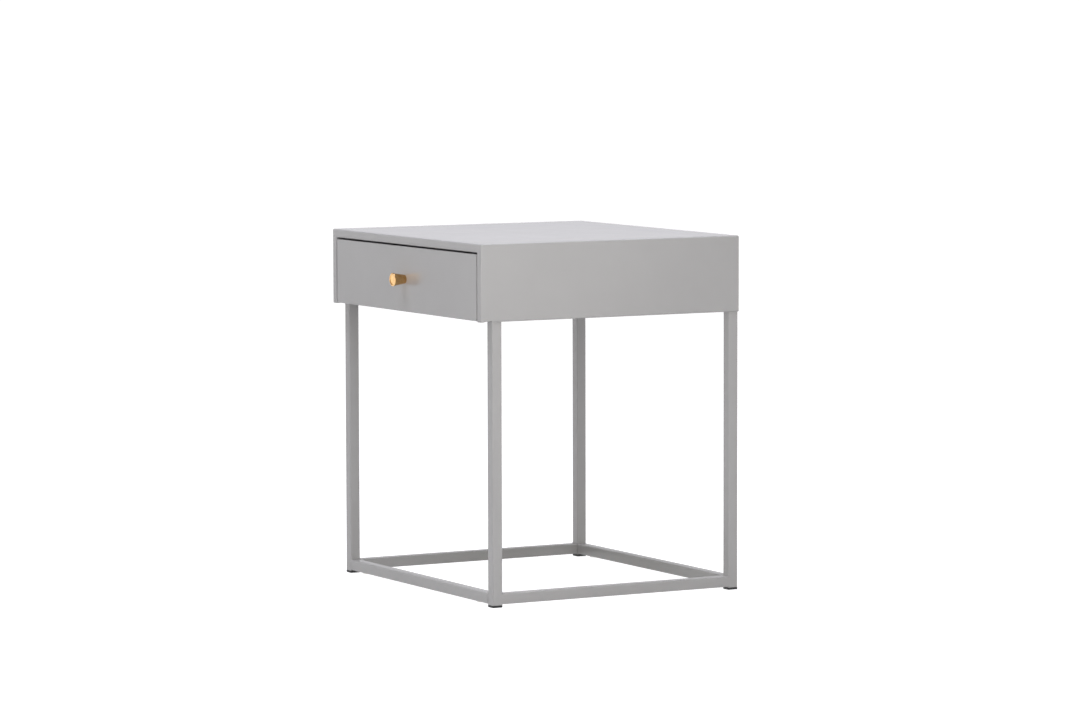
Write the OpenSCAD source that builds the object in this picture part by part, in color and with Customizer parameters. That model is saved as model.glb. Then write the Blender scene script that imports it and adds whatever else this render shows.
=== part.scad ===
// Bedside side table: a folded sheet-steel case with one inset drawer, carried on a
// square-tube frame with a rail around its foot. The drawer runs on two telescopic
// ball slides. Lengths are millimetres, +Z is up, the drawer opens towards -Y and the
// origin is on the floor under the middle of the whole table, its knob included.

/* [Overall] */
// Width of the case, side to side
case_w = 450; // [380:1:600]
// Depth of the case, front to back, without the knob
case_d = 412; // [330:1:520]
// Height of the table top above the floor
table_h = 500; // [380:1:650]
// Height of the case
case_h = 107; // [98:1:160]

/* [Case] */
// Thickness of the case's sheet steel
sheet_t = 1.2; // [0.8:0.1:1.5]
// Outer radius of the case's folds
bend_r = 2; // [1.7:0.1:3]
// Width of the bands at the left and right of the drawer
side_band = 12; // [10:0.5:16]
// Height of the band above the drawer
top_band = 12.2; // [9:0.5:20]
// Depth of the folds behind those bands
band_fold = 10; // [6:0.5:14]
// Width of the folds around the back panel
back_band = 12; // [10:0.5:16]
// Width of the folds under the sides that carry the bottom panel
bottom_fold = 18; // [16:0.5:24]
// Height of the bottom panel's upright lips
bottom_lip = 8; // [7:0.5:12]

/* [Drawer front] */
// Depth of the folded drawer front
front_depth = 16; // [12:0.5:20]
// Thickness of the drawer's sheet steel
box_t = 1; // [0.8:0.1:1.5]
// Outer radius of the drawer front's folds
front_r = 1.2; // [1:0.1:2]
// Gap between the drawer front and the side bands
front_gap_side = 1.8; // [1:0.1:3]
// Gap between the drawer front and the top band
front_gap_top = 2.2; // [1:0.1:3]
// Height of the drawer front's lower edge above the case's lower edge
front_gap_bottom = 1; // [0.5:0.1:3]

/* [Drawer box] */
// Space between the drawer box and the back of the case
box_rear_gap = 20; // [12:0.5:40]
// Space between the bottom panel's lip and the drawer box
box_floor_gap = 2.6; // [1:0.1:6]
// Space between the drawer box and the top of the drawer opening
box_top_gap = 17.5; // [8:0.5:25]
// Width of the folds under the drawer sides
box_fold = 10; // [8:0.5:16]
// Width of the hems along the top of the drawer sides
box_hem = 6; // [4:0.5:8]
// Length of the corner tabs on the drawer's front and back walls
corner_tab = 13; // [10:0.5:20]

/* [Knob] */
// How far the knob stands out from the drawer front
knob_reach = 19.5; // [14:0.5:30]
// Diameter of the knob's face
knob_face_d = 18.6; // [15:0.1:28]
// Diameter of the knob where it meets the drawer front
knob_base_d = 12.4; // [10:0.1:14]
// Radius of the knob's front edge
knob_edge_r = 0.8; // [0.4:0.1:1.5]
// Depth of the screw hole in the knob
knob_hole = 12; // [8:0.5:13]

/* [Frame] */
// Width of the square tube
tube = 15; // [14:0.5:20]
// Wall of the square tube
tube_wall = 1.5; // [1:0.1:2]
// Corner radius of the square tube
tube_r = 1.5; // [0.8:0.1:2.5]
// Inset of the legs from the case's sides
leg_inset_side = 1.7; // [0.5:0.1:4]
// Inset of the front legs from the case's front
leg_inset_front = 18.3; // [17.8:0.1:24]
// Inset of the back legs from the case's back
leg_inset_back = 1.2; // [0.6:0.1:4]
// Height of the rails' underside above the legs' lower ends
rail_lift = 1; // [0:0.1:40]
// Joint gap at each end of the bolted cross rails
rail_joint = 0.4; // [0.1:0.1:1]
// Length of the stubs inside the cross rails
stub_len = 50; // [42:1:80]
// Distance of a cross rail's screw from the leg beside it
rail_screw_reach = 35; // [12:1:38]

/* [Feet] */
// Visible height of a foot
foot_h = 3.2; // [2.8:0.1:8]
// How far a foot stands out around its leg
foot_lip = 0.2; // [0:0.1:1]
// Length of a foot's plug inside the leg
foot_plug = 14; // [8:1:25]

/* [Slides] */
// Height of a slide
slide_h = 45; // [42:0.5:46]
// Thickness of a slide
slide_w = 12.7; // [12.7:0.1:14]
// Thickness of the slide members' steel
member_t = 1.2; // [1:0.1:1.3]
// Diameter of the slide balls
ball_d = 2.4; // [2:0.1:2.6]
// Step in which slides are made, the longest that fits being used
slide_step = 50; // [25:25:50]
// Distance from the drawer front's back to the slides
slide_setback = 4; // [2:0.5:10]
// Length of a ball cage
cage_len = 60; // [50:1:80]
// Thickness of a ball cage's strip
cage_t = 0.5; // [0.4:0.1:0.6]

/* [Fasteners] */
// Diameter of the leg bolts
leg_bolt_d = 6; // [5:1:6]
// Length of the leg bolts under the head
leg_bolt_len = 20; // [14:1:30]
// Diameter of the leg washers
washer_d = 12; // [11:0.5:12]
// Thickness of the leg washers
washer_t = 1.2; // [1:0.1:2]
// Diameter of the cross rails' screws
rail_screw_d = 5; // [4:0.5:6]
// Diameter of the domed heads under the cross rails
rail_head_d = 11; // [9:0.5:13]
// Height of the domed heads under the cross rails
rail_head_h = 2; // [1.5:0.1:2.4]
// Diameter of the drawer's and slides' screws
screw_d = 3.5; // [3:0.5:4]
// Diameter of the rivets' shanks
rivet_d = 3.2; // [2.4:0.1:4]

/* [Clearances] */
// Gap between a screw, bolt or rivet and the hole that it passes through
hole_gap = 0.1; // [0.05:0.05:0.4]
// Gap around a plug or stub inside a tube
plug_gap = 0.15; // [0.05:0.05:0.4]
// Gap between the sheets that lie inside one another
sheet_gap = 0.2; // [0.1:0.1:0.5]
// Gap between a ball and the races on either side of it
ball_gap = 0.3; // [0.3:0.05:0.5]
// Space between the webs of neighbouring slide members
web_gap = 1.6; // [1.4:0.1:2]

/* [Hidden] */

// Straight pieces in each rounded corner of a fold or tube
ROUND_STEPS = 5;
// Fineness of the round parts
$fn = 48;
// How far a cut runs past the surface it opens
CUT = 1;

// Case: the half width, the front and back planes and the lower edge
half_w = case_w / 2;
front_y = (knob_reach - case_d) / 2;
back_y = front_y + case_d;
case_z = table_h - case_h;
side_in = half_w - sheet_t;
inner_r = bend_r - sheet_t;
panel_gap = inner_r + sheet_gap;
open_x = half_w - side_band;
open_z = table_h - top_band;
// The bottom folds and the bottom panel stop behind the drawer front
bottom_y0 = front_y + front_depth + box_t + sheet_gap;
bottom_y1 = back_y - 2 * sheet_t - sheet_gap;
bottom_top = case_z + 2 * sheet_t;
// Top of the bottom folds with the radius inside them
fold_top = case_z + sheet_t + inner_r;

// Drawer front
front_x = open_x - front_gap_side;
front_z0 = case_z + front_gap_bottom;
front_z1 = open_z - front_gap_top;
front_mid_z = (front_z0 + front_z1) / 2;

// Slides: the members' half heights and the faces of their webs, from the case inwards
box_x = open_x - slide_w;
lane = ball_d + 2 * ball_gap;
outer_half = slide_h / 2;
middle_half = outer_half - member_t - lane;
inner_half = middle_half - member_t - lane;
outer_web_in = open_x - member_t;
middle_web_out = outer_web_in - web_gap;
middle_web_in = middle_web_out - member_t;
inner_lip_end = middle_web_in - web_gap;
lip_end = box_x + slide_w - 10;
outer_ball_x = (lip_end + middle_web_out) / 2;
inner_ball_x = (lip_end + inner_lip_end) / 2;
outer_ball_z = outer_half - member_t - lane / 2;
inner_ball_z = middle_half - member_t - lane / 2;
slide_y0 = front_y + front_depth + slide_setback;
slide_room = case_d - front_depth - slide_setback - box_rear_gap;
slide_len = floor(slide_room / slide_step) * slide_step;
slide_y1 = slide_y0 + slide_len;
slide_mid_y = (slide_y0 + slide_y1) / 2;
// Reach of a cage's strip past the middle of its balls, and the balls' places along it
cage_reach = 2.2;
ball_count = 6;
ball_pitch = cage_len / (ball_count + 0.6);
ball_steps = [for (i = [0:ball_count - 1]) (i - (ball_count - 1) / 2) * ball_pitch];

// Drawer box
box_y0 = front_y + front_depth;
box_y1 = back_y - box_rear_gap;
box_z0 = bottom_top + bottom_lip + box_floor_gap;
box_z1 = open_z - box_top_gap;
box_in = box_x - box_t;
wall_z0 = box_z0 + 2 * box_t;
wall_z1 = box_z1 - box_t;
slide_z = (box_z0 + box_z1) / 2;
// Places of the drawer's screws and rivets: their distance from the wall edges
box_edge = 5.5;

// Slide brackets: the space above and below the slide, and the welded edges
bracket_half = outer_half + 4;
bracket_edge = 8;

// Frame
leg_x = half_w - leg_inset_side - tube / 2;
leg_front_y = front_y + leg_inset_front + tube / 2;
leg_back_y = back_y - leg_inset_back - tube / 2;
tube_in = tube - 2 * tube_wall;
rail_z = foot_h + rail_lift;
rail_x = leg_x - tube / 2;
plug_w = tube_in - 2 * plug_gap;
nut_len = 15;
// The bottom panel's lips stop short of the leg bolts' washers
lip_x = leg_x - washer_d / 2 - 2;

// Screw heads: a width and a height for each shank diameter
head_w = 1.75;
head_h = 0.4;
// The low heads between the slides' webs
low_head = 0.9;
// How far a slide screw and a drawer screw run past the sheet they hold
screw_past = 3;
// Places of the slide screws from the ends of a slide
case_screw_in = 20;
drawer_screw_in = 38;
// Back rivets: head height, tail height and their spacing
rivet_head = 0.8;
rivet_tail = 1.2;
top_rivets = [-1, 0, 1] * (case_w / 2 - 3 * back_band) * 0.8;
side_rivets = [case_z + case_h / 4, case_z + 3 * case_h / 4];

// ---------------------------------------------------------------- outlines

// Points of a rectangle with round corners, centred
function round_points(w, h, r) = [
    for (corner = [0:3], step = [0:ROUND_STEPS])
        let (a = corner * 90 + step * 90 / ROUND_STEPS,
             sx = corner == 0 || corner == 3 ? 1 : -1,
             sy = corner < 2 ? 1 : -1)
        [sx * (w / 2 - r) + r * cos(a), sy * (h / 2 - r) + r * sin(a)]
];

module round_outline(w, h, r) {
    polygon(round_points(w, h, r));
}

// A block from one corner to the other with all its edges rounded
module soft_block(lo, hi, r) {
    size = hi - lo;
    translate((lo + hi) / 2)
        intersection() {
            linear_extrude(size[2], center = true) round_outline(size[0], size[1], r);
            rotate([90, 0, 0])
                linear_extrude(size[1], center = true) round_outline(size[0], size[2], r);
            rotate([90, 0, 90])
                linear_extrude(size[0], center = true) round_outline(size[1], size[2], r);
        }
}

// A plain block from one corner to the other
module block(lo, hi) {
    translate(lo) cube(hi - lo);
}

// An outline drawn in X and Z, run along Y from y0 to y1
module along_y(y0, y1) {
    translate([0, y1, 0]) rotate([90, 0, 0]) linear_extrude(y1 - y0) children();
}

// The children at +X and again, mirrored, at -X
module both_sides() {
    children();
    mirror([1, 0, 0]) children();
}

// A square tube along Z, standing on its end
module square_tube(len) {
    difference() {
        linear_extrude(len) round_outline(tube, tube, tube_r);
        translate([0, 0, -CUT])
            linear_extrude(len + 2 * CUT) square(tube_in, center = true);
    }
}

// ---------------------------------------------------------------- fasteners

// A screw or bolt along -Z: its head stands on z = 0 and its shank hangs below
module pan_screw(d, len, head_d, head_z) {
    rotate_extrude()
        polygon([
            [0, -len], [d / 2 - 0.4, -len], [d / 2, -len + 0.4], [d / 2, 0],
            [head_d / 2, 0], [head_d / 2, head_z * 0.4], [head_d / 2 * 0.8, head_z * 0.8],
            [head_d / 2 * 0.45, head_z], [0, head_z]
        ]);
}

// A set rivet along -Z through sheets of this total thickness
module rivet(grip) {
    rotate_extrude()
        polygon([
            [0, -grip - rivet_tail], [rivet_d / 2 + 0.5, -grip - rivet_tail],
            [rivet_d / 2 + 0.8, -grip - rivet_tail / 2], [rivet_d / 2 + 0.8, -grip],
            [rivet_d / 2, -grip], [rivet_d / 2, 0], [rivet_d, 0],
            [rivet_d * 0.8, rivet_head * 0.6], [rivet_d * 0.45, rivet_head], [0, rivet_head]
        ]);
}

// A hole along Z, through everything from z0 to z1
module drill(d, z0, z1) {
    translate([0, 0, z0]) cylinder(h = z1 - z0, d = d + 2 * hole_gap);
}

// Turns a fastener along Z so that its head faces -Y, +Y, +X or -X
module head_front() { rotate([90, 0, 0]) children(); }
module head_back() { rotate([-90, 0, 0]) children(); }
module head_right() { rotate([0, 90, 0]) children(); }
module head_left() { rotate([0, -90, 0]) children(); }

// ---------------------------------------------------------------- fastener places

module at_legs() {
    for (y = [leg_front_y, leg_back_y])
        both_sides() translate([leg_x, y, 0]) children();
}

module at_back_band() {
    for (z = side_rivets)
        both_sides() translate([half_w - back_band / 2 - inner_r, back_y, z]) children();
    for (x = top_rivets)
        translate([x, back_y, table_h - back_band / 2 - inner_r]) children();
}

module at_back_foot() {
    for (x = top_rivets)
        translate([x, back_y - sheet_t, bottom_top + bottom_lip / 2 + 0.5]) children();
}

module at_front_screws() {
    for (z = [wall_z0 + box_edge, wall_z1 - box_edge])
        both_sides() translate([box_in - 30, box_y0 + box_t, z]) children();
}

module at_knob(y) {
    translate([0, y, front_mid_z]) children();
}

module at_drawer_corners() {
    for (y = [box_y0 + corner_tab / 2, box_y1 - corner_tab / 2],
         z = [wall_z0 + box_edge - 2.5, wall_z1 - box_edge + 2.5])
        both_sides() translate([box_x, y, z]) children();
}

module at_case_screws() {
    for (y = [slide_y0 + case_screw_in, slide_y1 - case_screw_in])
        both_sides() translate([outer_web_in, y, slide_z]) children();
}

module at_drawer_screws() {
    for (y = [slide_y0 + drawer_screw_in, slide_y1 - drawer_screw_in])
        both_sides() translate([box_x + member_t, y, slide_z]) children();
}

module at_rail_screws() {
    for (y = [leg_front_y, leg_back_y])
        both_sides() translate([rail_x - rail_screw_reach, y, rail_z]) children();
}

// ---------------------------------------------------------------- case

// Top, two sides and the folds around the drawer opening, the back and the bottom
module case_shell() {
    lo = [-half_w, front_y, case_z];
    hi = [half_w, back_y, table_h];
    wall = [sheet_t, sheet_t, sheet_t];
    color("gainsboro")
    difference() {
        union() {
            difference() {
                soft_block(lo, hi, bend_r);
                soft_block(lo + wall, hi - wall, inner_r);
                // Drawer opening, back opening and the open underside
                block([-open_x, front_y - CUT, case_z - CUT],
                      [open_x, front_y + sheet_t + CUT, open_z]);
                block([-half_w + back_band, back_y - sheet_t - CUT, case_z - CUT],
                      [half_w - back_band, back_y + CUT, table_h - back_band]);
                block([-side_in + bottom_fold, front_y + sheet_t, case_z - CUT],
                      [side_in - bottom_fold, back_y - sheet_t, fold_top]);
                // The bottom folds stop behind the drawer front and before the back panel
                block([-side_in, front_y + sheet_t, case_z - CUT],
                      [side_in, bottom_y0, fold_top]);
                block([-side_in, bottom_y1, case_z - CUT],
                      [side_in, back_y - sheet_t, fold_top]);
            }
            opening_folds();
        }
        at_legs() drill(leg_bolt_d, case_z - CUT, case_z + sheet_t + CUT);
        at_back_band() head_back() drill(rivet_d, -sheet_t - CUT, CUT);
    }
}

// The folds that run back from the bands around the drawer opening
module opening_folds() {
    y0 = front_y + sheet_t / 2;
    y1 = front_y + band_fold;
    both_sides() block([open_x, y0, case_z + bend_r], [open_x + sheet_t, y1, open_z]);
    block([-open_x - sheet_t, y0, open_z], [open_x + sheet_t, y1, open_z + sheet_t]);
}

// Flat sheet behind the back folds
module back_panel() {
    x = side_in - panel_gap;
    color("gainsboro")
    difference() {
        block([-x, back_y - 2 * sheet_t, case_z],
              [x, back_y - sheet_t, table_h - sheet_t - panel_gap]);
        at_back_band() head_back() drill(rivet_d, -2 * sheet_t - CUT, CUT);
        at_back_foot() head_back() drill(rivet_d, -sheet_t - CUT, CUT);
    }
}

// Sheet on the sides' bottom folds, with an upright lip at its front and its back
module bottom_panel() {
    x = side_in - panel_gap;
    color("gainsboro")
    difference() {
        union() {
            block([-x, bottom_y0, case_z + sheet_t], [x, bottom_y1, bottom_top]);
            block([-lip_x, bottom_y0, case_z + sheet_t],
                  [lip_x, bottom_y0 + sheet_t, bottom_top + bottom_lip]);
            block([-lip_x, bottom_y1 - sheet_t, case_z + sheet_t],
                  [lip_x, bottom_y1, bottom_top + bottom_lip]);
        }
        at_legs() drill(leg_bolt_d, case_z, bottom_top + CUT);
        at_back_foot() head_back() drill(rivet_d, -3 * sheet_t - CUT, CUT);
    }
}

module back_rivets() {
    color("silver") {
        at_back_band() head_back() rivet(2 * sheet_t);
        at_back_foot() head_back() rivet(2 * sheet_t + sheet_gap);
    }
}

// Hat-shaped channel that brings a slide level with the edge of the drawer opening
module slide_bracket() {
    edge = bracket_half + bracket_edge;
    web = bracket_half - sheet_t;
    color("silver")
    difference() {
        along_y(slide_y0, slide_y1)
            translate([0, slide_z])
                polygon([
                    [side_in, -edge], [side_in - sheet_t, -edge],
                    [side_in - sheet_t, -bracket_half], [open_x, -bracket_half],
                    [open_x, bracket_half], [side_in - sheet_t, bracket_half],
                    [side_in - sheet_t, edge], [side_in, edge],
                    [side_in, web], [open_x + sheet_t, web],
                    [open_x + sheet_t, -web], [side_in, -web]
                ]);
        at_case_screws() head_left() drill(screw_d, -3 * sheet_t - CUT, CUT);
    }
}

// ---------------------------------------------------------------- frame

module leg(side, y) {
    color("gainsboro")
    translate([side * leg_x, y, foot_h]) square_tube(case_z - foot_h);
}

module side_rail(side) {
    y0 = leg_front_y + tube / 2;
    color("gainsboro")
    translate([side * leg_x, y0, rail_z + tube / 2])
        rotate([-90, 0, 0]) square_tube(leg_back_y - tube / 2 - y0);
}

module cross_rail(y) {
    len = 2 * (rail_x - rail_joint);
    color("gainsboro")
    difference() {
        translate([-len / 2, y, rail_z + tube / 2]) rotate([0, 90, 0]) square_tube(len);
        at_rail_screws() drill(rail_screw_d, -CUT, tube_wall + CUT);
    }
}

// Bars on the legs' inner faces that the cross rails slide over
module rail_stubs() {
    low = rail_z + tube_wall + plug_gap;
    color("silver")
    difference() {
        for (y = [leg_front_y, leg_back_y])
            both_sides()
                block([rail_x - stub_len, y - plug_w / 2, low],
                      [rail_x, y + plug_w / 2, low + plug_w]);
        at_rail_screws() drill(rail_screw_d, 0, tube);
    }
}

module rail_screws() {
    color("whitesmoke")
    at_rail_screws()
        rotate([180, 0, 0]) pan_screw(rail_screw_d, tube * 0.75, rail_head_d, rail_head_h);
}

// Threaded plugs in the tops of the legs
module leg_nut_plugs() {
    color("silver")
    at_legs()
        difference() {
            translate([0, 0, case_z - nut_len])
                linear_extrude(nut_len) square(plug_w, center = true);
            drill(leg_bolt_d, case_z - nut_len - CUT, case_z + CUT);
        }
}

// Hexagon bolts, put in from inside the case
module leg_bolts() {
    seat = bottom_top + washer_t;
    color("silver")
    at_legs() {
        translate([0, 0, seat - leg_bolt_len]) cylinder(h = leg_bolt_len, d = leg_bolt_d);
        translate([0, 0, seat])
            cylinder(h = leg_bolt_d * 0.6, d = leg_bolt_d * 1.75, $fn = 6);
    }
}

module leg_washers() {
    color("silver")
    at_legs()
        difference() {
            translate([0, 0, bottom_top]) cylinder(h = washer_t, d = washer_d);
            drill(leg_bolt_d, bottom_top - CUT, bottom_top + washer_t + CUT);
        }
}

// Plastic end cap: a sole under the leg, and a ribbed plug inside it
module foot(side, y) {
    sole = tube + 2 * foot_lip;
    core = plug_w - 1.6;
    ribs = 3;
    color("dimgray")
    translate([side * leg_x, y, 0]) {
        linear_extrude(foot_h) round_outline(sole, sole, tube_r + foot_lip);
        linear_extrude(foot_h + foot_plug) square(core, center = true);
        for (i = [0:ribs - 1])
            translate([0, 0, foot_h + 1.5 + i * (foot_plug - 3) / ribs])
                linear_extrude(1.2) square(plug_w, center = true);
    }
}

// ---------------------------------------------------------------- slides

// A channel outline whose web runs from web_out to web_in and whose lips reach lip_x
module channel(half, web_out, web_in, lip, t) {
    polygon([
        [web_out, -half], [web_out, half], [lip, half], [lip, half - t],
        [web_in, half - t], [web_in, -half + t], [lip, -half + t], [lip, -half]
    ]);
}

// One slide member along its whole length
module member(half, web_out, web_in, lip) {
    color("silver")
    along_y(slide_y0, slide_y1)
        translate([0, slide_z]) channel(half, web_out, web_in, lip, member_t);
}

module slide_outer() {
    difference() {
        member(outer_half, open_x, outer_web_in, lip_end);
        at_case_screws() head_left() drill(screw_d, -member_t - CUT, CUT);
    }
}

module slide_middle() {
    member(middle_half, middle_web_out, middle_web_in, lip_end);
}

module slide_inner() {
    difference() {
        member(inner_half, box_x, box_x + member_t, inner_lip_end);
        at_drawer_screws() head_right() drill(screw_d, -member_t - CUT, CUT);
    }
}

// A thin channel with pockets that keeps the balls of one slide apart
module cage(web_x, ball_x, ball_z) {
    color("khaki")
    difference() {
        along_y(slide_mid_y - cage_len / 2, slide_mid_y + cage_len / 2)
            translate([0, slide_z])
                channel(ball_z + cage_t / 2, web_x + cage_t / 2, web_x - cage_t / 2,
                        ball_x - cage_reach, cage_t);
        for (y = ball_steps)
            translate([ball_x, slide_mid_y + y, slide_z])
                drill(ball_d, -outer_half, outer_half);
    }
}

module cage_outer() {
    cage(outer_web_in - web_gap / 2, outer_ball_x, outer_ball_z);
}

module cage_inner() {
    cage(middle_web_in - web_gap / 2, inner_ball_x, inner_ball_z);
}

module balls(ball_x, ball_z) {
    color("white")
    for (y = ball_steps, z = [-ball_z, ball_z])
        translate([ball_x, slide_mid_y + y, slide_z + z]) sphere(d = ball_d, $fn = 24);
}

// Low-headed screws that hold the outer members to the brackets
module slide_case_screws() {
    color("silver")
    at_case_screws()
        head_left()
            pan_screw(screw_d, member_t + sheet_t + screw_past, screw_d * head_w, low_head);
}

// Screws that hold the inner members to the drawer's sides
module slide_drawer_screws() {
    color("silver")
    at_drawer_screws()
        head_right()
            pan_screw(screw_d, member_t + box_t + screw_past - 1, screw_d * head_w,
                      screw_d * head_h);
}

// ---------------------------------------------------------------- drawer

// Folded pan, closed in front and open behind inside a wide flange
module drawer_front() {
    lo = [-front_x, front_y, front_z0];
    hi = [front_x, front_y + front_depth, front_z1];
    wall = [box_t, box_t, box_t];
    flange = box_edge + 4.5;
    color("gainsboro")
    difference() {
        soft_block(lo, hi, front_r);
        soft_block(lo + wall, hi - wall, front_r - box_t + 0.1);
        block([-box_in + 45, hi[1] - box_t - CUT, wall_z0 + flange],
              [box_in - 45, hi[1] + CUT, wall_z1 - flange]);
        at_knob(front_y) head_front() drill(screw_d, -box_t - CUT, CUT);
        at_front_screws() head_back() drill(screw_d, -2 * box_t - CUT, CUT);
    }
}

// End wall of the drawer box with a tab at each corner; dir = 1 folds the tabs to +Y
module end_wall(y, dir) {
    color("gainsboro")
    translate([0, y, wall_z0])
        linear_extrude(wall_z1 - wall_z0)
            polygon([
                [-box_in, 0], [box_in, 0], [box_in, dir * corner_tab],
                [box_in - box_t, dir * corner_tab], [box_in - box_t, dir * box_t],
                [-box_in + box_t, dir * box_t], [-box_in + box_t, dir * corner_tab],
                [-box_in, dir * corner_tab]
            ]);
}

// Cuts the holes of the rivets at the drawer's corners
module corner_holes() {
    at_drawer_corners() head_right() drill(rivet_d, -2 * box_t - CUT, CUT);
}

module drawer_front_wall() {
    difference() {
        end_wall(box_y0, 1);
        corner_holes();
        at_knob(box_y0 + box_t) head_back() drill(screw_d, -box_t - CUT, CUT);
        at_front_screws() head_back() drill(screw_d, -box_t - CUT, CUT);
    }
}

module drawer_back_wall() {
    difference() {
        end_wall(box_y1, -1);
        corner_holes();
    }
}

// Side of the drawer box, folded in under the bottom sheet and hemmed at the top
module drawer_side() {
    color("gainsboro")
    difference() {
        along_y(box_y0, box_y1)
            polygon([
                [box_x, box_z0], [box_x, box_z1], [box_x - box_hem, box_z1],
                [box_x - box_hem, box_z1 - box_t], [box_in, box_z1 - box_t],
                [box_in, box_z0 + box_t], [box_x - box_fold, box_z0 + box_t],
                [box_x - box_fold, box_z0]
            ]);
        corner_holes();
        at_drawer_screws() head_right() drill(screw_d, -member_t - box_t - CUT, CUT);
    }
}

// Bottom sheet of the drawer, on the folds of the sides
module drawer_bottom() {
    x = box_in - sheet_gap;
    color("gainsboro")
    block([-x, box_y0, box_z0 + box_t], [x, box_y1, wall_z0]);
}

module drawer_rivets() {
    color("silver")
    at_drawer_corners() head_right() rivet(2 * box_t);
}

module drawer_front_screws() {
    color("silver")
    at_front_screws()
        head_back()
            pan_screw(screw_d, 2 * box_t + screw_past, screw_d * head_w, screw_d * head_h);
}

// Tapered knob with a rounded front edge, a shallow dish in its face and a screw hole
module knob() {
    rim = 0.9;
    dish = 0.35;
    face_r = knob_face_d / 2;
    base_r = knob_base_d / 2;
    edge_steps = 6;
    color("goldenrod")
    at_knob(front_y)
        head_front()
            rotate_extrude()
                polygon(concat(
                    [[screw_d / 2 + hole_gap, 0], [base_r - 0.3, 0], [base_r, 0.3]],
                    [for (i = [0:edge_steps])
                        let (a = i * 90 / edge_steps)
                        [face_r - knob_edge_r + knob_edge_r * cos(a),
                         knob_reach - knob_edge_r + knob_edge_r * sin(a)]],
                    [[face_r - knob_edge_r - rim, knob_reach],
                     [face_r - knob_edge_r - rim - dish, knob_reach - dish],
                     [0, knob_reach - dish], [0, knob_hole],
                     [screw_d / 2 + hole_gap, knob_hole - screw_d / 4]]
                ));
}

// Long screw through the drawer's front wall and front into the knob
module knob_screw() {
    reach = front_depth + box_t + knob_hole - screw_d / 2;
    color("silver")
    at_knob(box_y0 + box_t)
        head_back() pan_screw(screw_d, reach, screw_d * head_w, screw_d * head_h);
}

// ---------------------------------------------------------------- nodes

case_shell();
back_panel();
bottom_panel();
back_rivets();
mirror([1, 0, 0]) slide_bracket();  // slide_bracket_left
slide_bracket();  // slide_bracket_right
leg(-1, leg_front_y);  // leg_front_left
leg(1, leg_front_y);  // leg_front_right
leg(-1, leg_back_y);  // leg_back_left
leg(1, leg_back_y);  // leg_back_right
side_rail(-1);  // side_rail_left
side_rail(1);  // side_rail_right
cross_rail(leg_front_y);  // cross_rail_front
cross_rail(leg_back_y);  // cross_rail_back
rail_stubs();
rail_screws();
leg_nut_plugs();
leg_bolts();
leg_washers();
foot(-1, leg_front_y);  // foot_front_left
foot(1, leg_front_y);  // foot_front_right
foot(-1, leg_back_y);  // foot_back_left
foot(1, leg_back_y);  // foot_back_right
mirror([1, 0, 0]) slide_outer();  // slide_outer_left
slide_outer();  // slide_outer_right
mirror([1, 0, 0]) slide_middle();  // slide_middle_left
slide_middle();  // slide_middle_right
mirror([1, 0, 0]) slide_inner();  // slide_inner_left
slide_inner();  // slide_inner_right
mirror([1, 0, 0]) cage_outer();  // cage_outer_left
cage_outer();  // cage_outer_right
mirror([1, 0, 0]) cage_inner();  // cage_inner_left
cage_inner();  // cage_inner_right
mirror([1, 0, 0]) balls(outer_ball_x, outer_ball_z);  // balls_outer_left
balls(outer_ball_x, outer_ball_z);  // balls_outer_right
mirror([1, 0, 0]) balls(inner_ball_x, inner_ball_z);  // balls_inner_left
balls(inner_ball_x, inner_ball_z);  // balls_inner_right
slide_case_screws();
slide_drawer_screws();
drawer_front();
drawer_front_wall();
drawer_back_wall();
mirror([1, 0, 0]) drawer_side();  // drawer_side_left
drawer_side();  // drawer_side_right
drawer_bottom();
drawer_rivets();
drawer_front_screws();
knob();
knob_screw();
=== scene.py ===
"""Bedside side table: folded sheet-steel case with one drawer, on a square-tube frame.

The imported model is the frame. The pieces that show are built again from bent sheet, tube and
turned work around it, and every other node keeps its shape and gets the finish of the real one.
"""

import logging
import math
from dataclasses import dataclass, field
from enum import Enum
from typing import Callable, Iterable, Optional, Sequence

import bmesh
import bpy
from bmesh.types import BMesh
from mathutils import Matrix, Vector


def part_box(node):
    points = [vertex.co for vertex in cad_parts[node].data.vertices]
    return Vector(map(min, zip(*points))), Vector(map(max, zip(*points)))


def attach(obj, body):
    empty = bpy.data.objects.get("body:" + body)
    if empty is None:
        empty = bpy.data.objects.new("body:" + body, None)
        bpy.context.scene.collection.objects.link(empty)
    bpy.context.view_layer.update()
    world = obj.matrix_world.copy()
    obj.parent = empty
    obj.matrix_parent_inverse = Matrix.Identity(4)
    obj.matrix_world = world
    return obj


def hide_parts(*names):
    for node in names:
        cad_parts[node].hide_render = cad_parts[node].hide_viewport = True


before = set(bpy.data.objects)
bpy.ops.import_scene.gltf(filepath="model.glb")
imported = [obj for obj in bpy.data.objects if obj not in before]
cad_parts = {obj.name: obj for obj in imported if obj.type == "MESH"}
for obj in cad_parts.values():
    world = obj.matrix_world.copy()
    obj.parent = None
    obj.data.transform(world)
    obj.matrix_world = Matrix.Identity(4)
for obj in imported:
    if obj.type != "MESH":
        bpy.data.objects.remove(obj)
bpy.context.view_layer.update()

LOG = logging.getLogger("side_table")
MM = 0.001
# Two points closer than this are one place
NEAR = 1e-6

Point = tuple[float, float]


# ------------------------------------------------------------------ colours and nodes


def srgb(code: str) -> tuple[float, float, float, float]:
    """Turn an sRGB hex colour into linear RGBA.

    Args:
        code: Six hex digits, with or without a leading hash.

    Returns:
        Linear red, green and blue, and an alpha of 1.
    """
    digits = code.lstrip("#")
    parts = [int(digits[i : i + 2], 16) / 255 for i in (0, 2, 4)]
    linear = [c / 12.92 if c <= 0.04045 else ((c + 0.055) / 1.055) ** 2.4 for c in parts]
    return (linear[0], linear[1], linear[2], 1.0)


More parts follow.
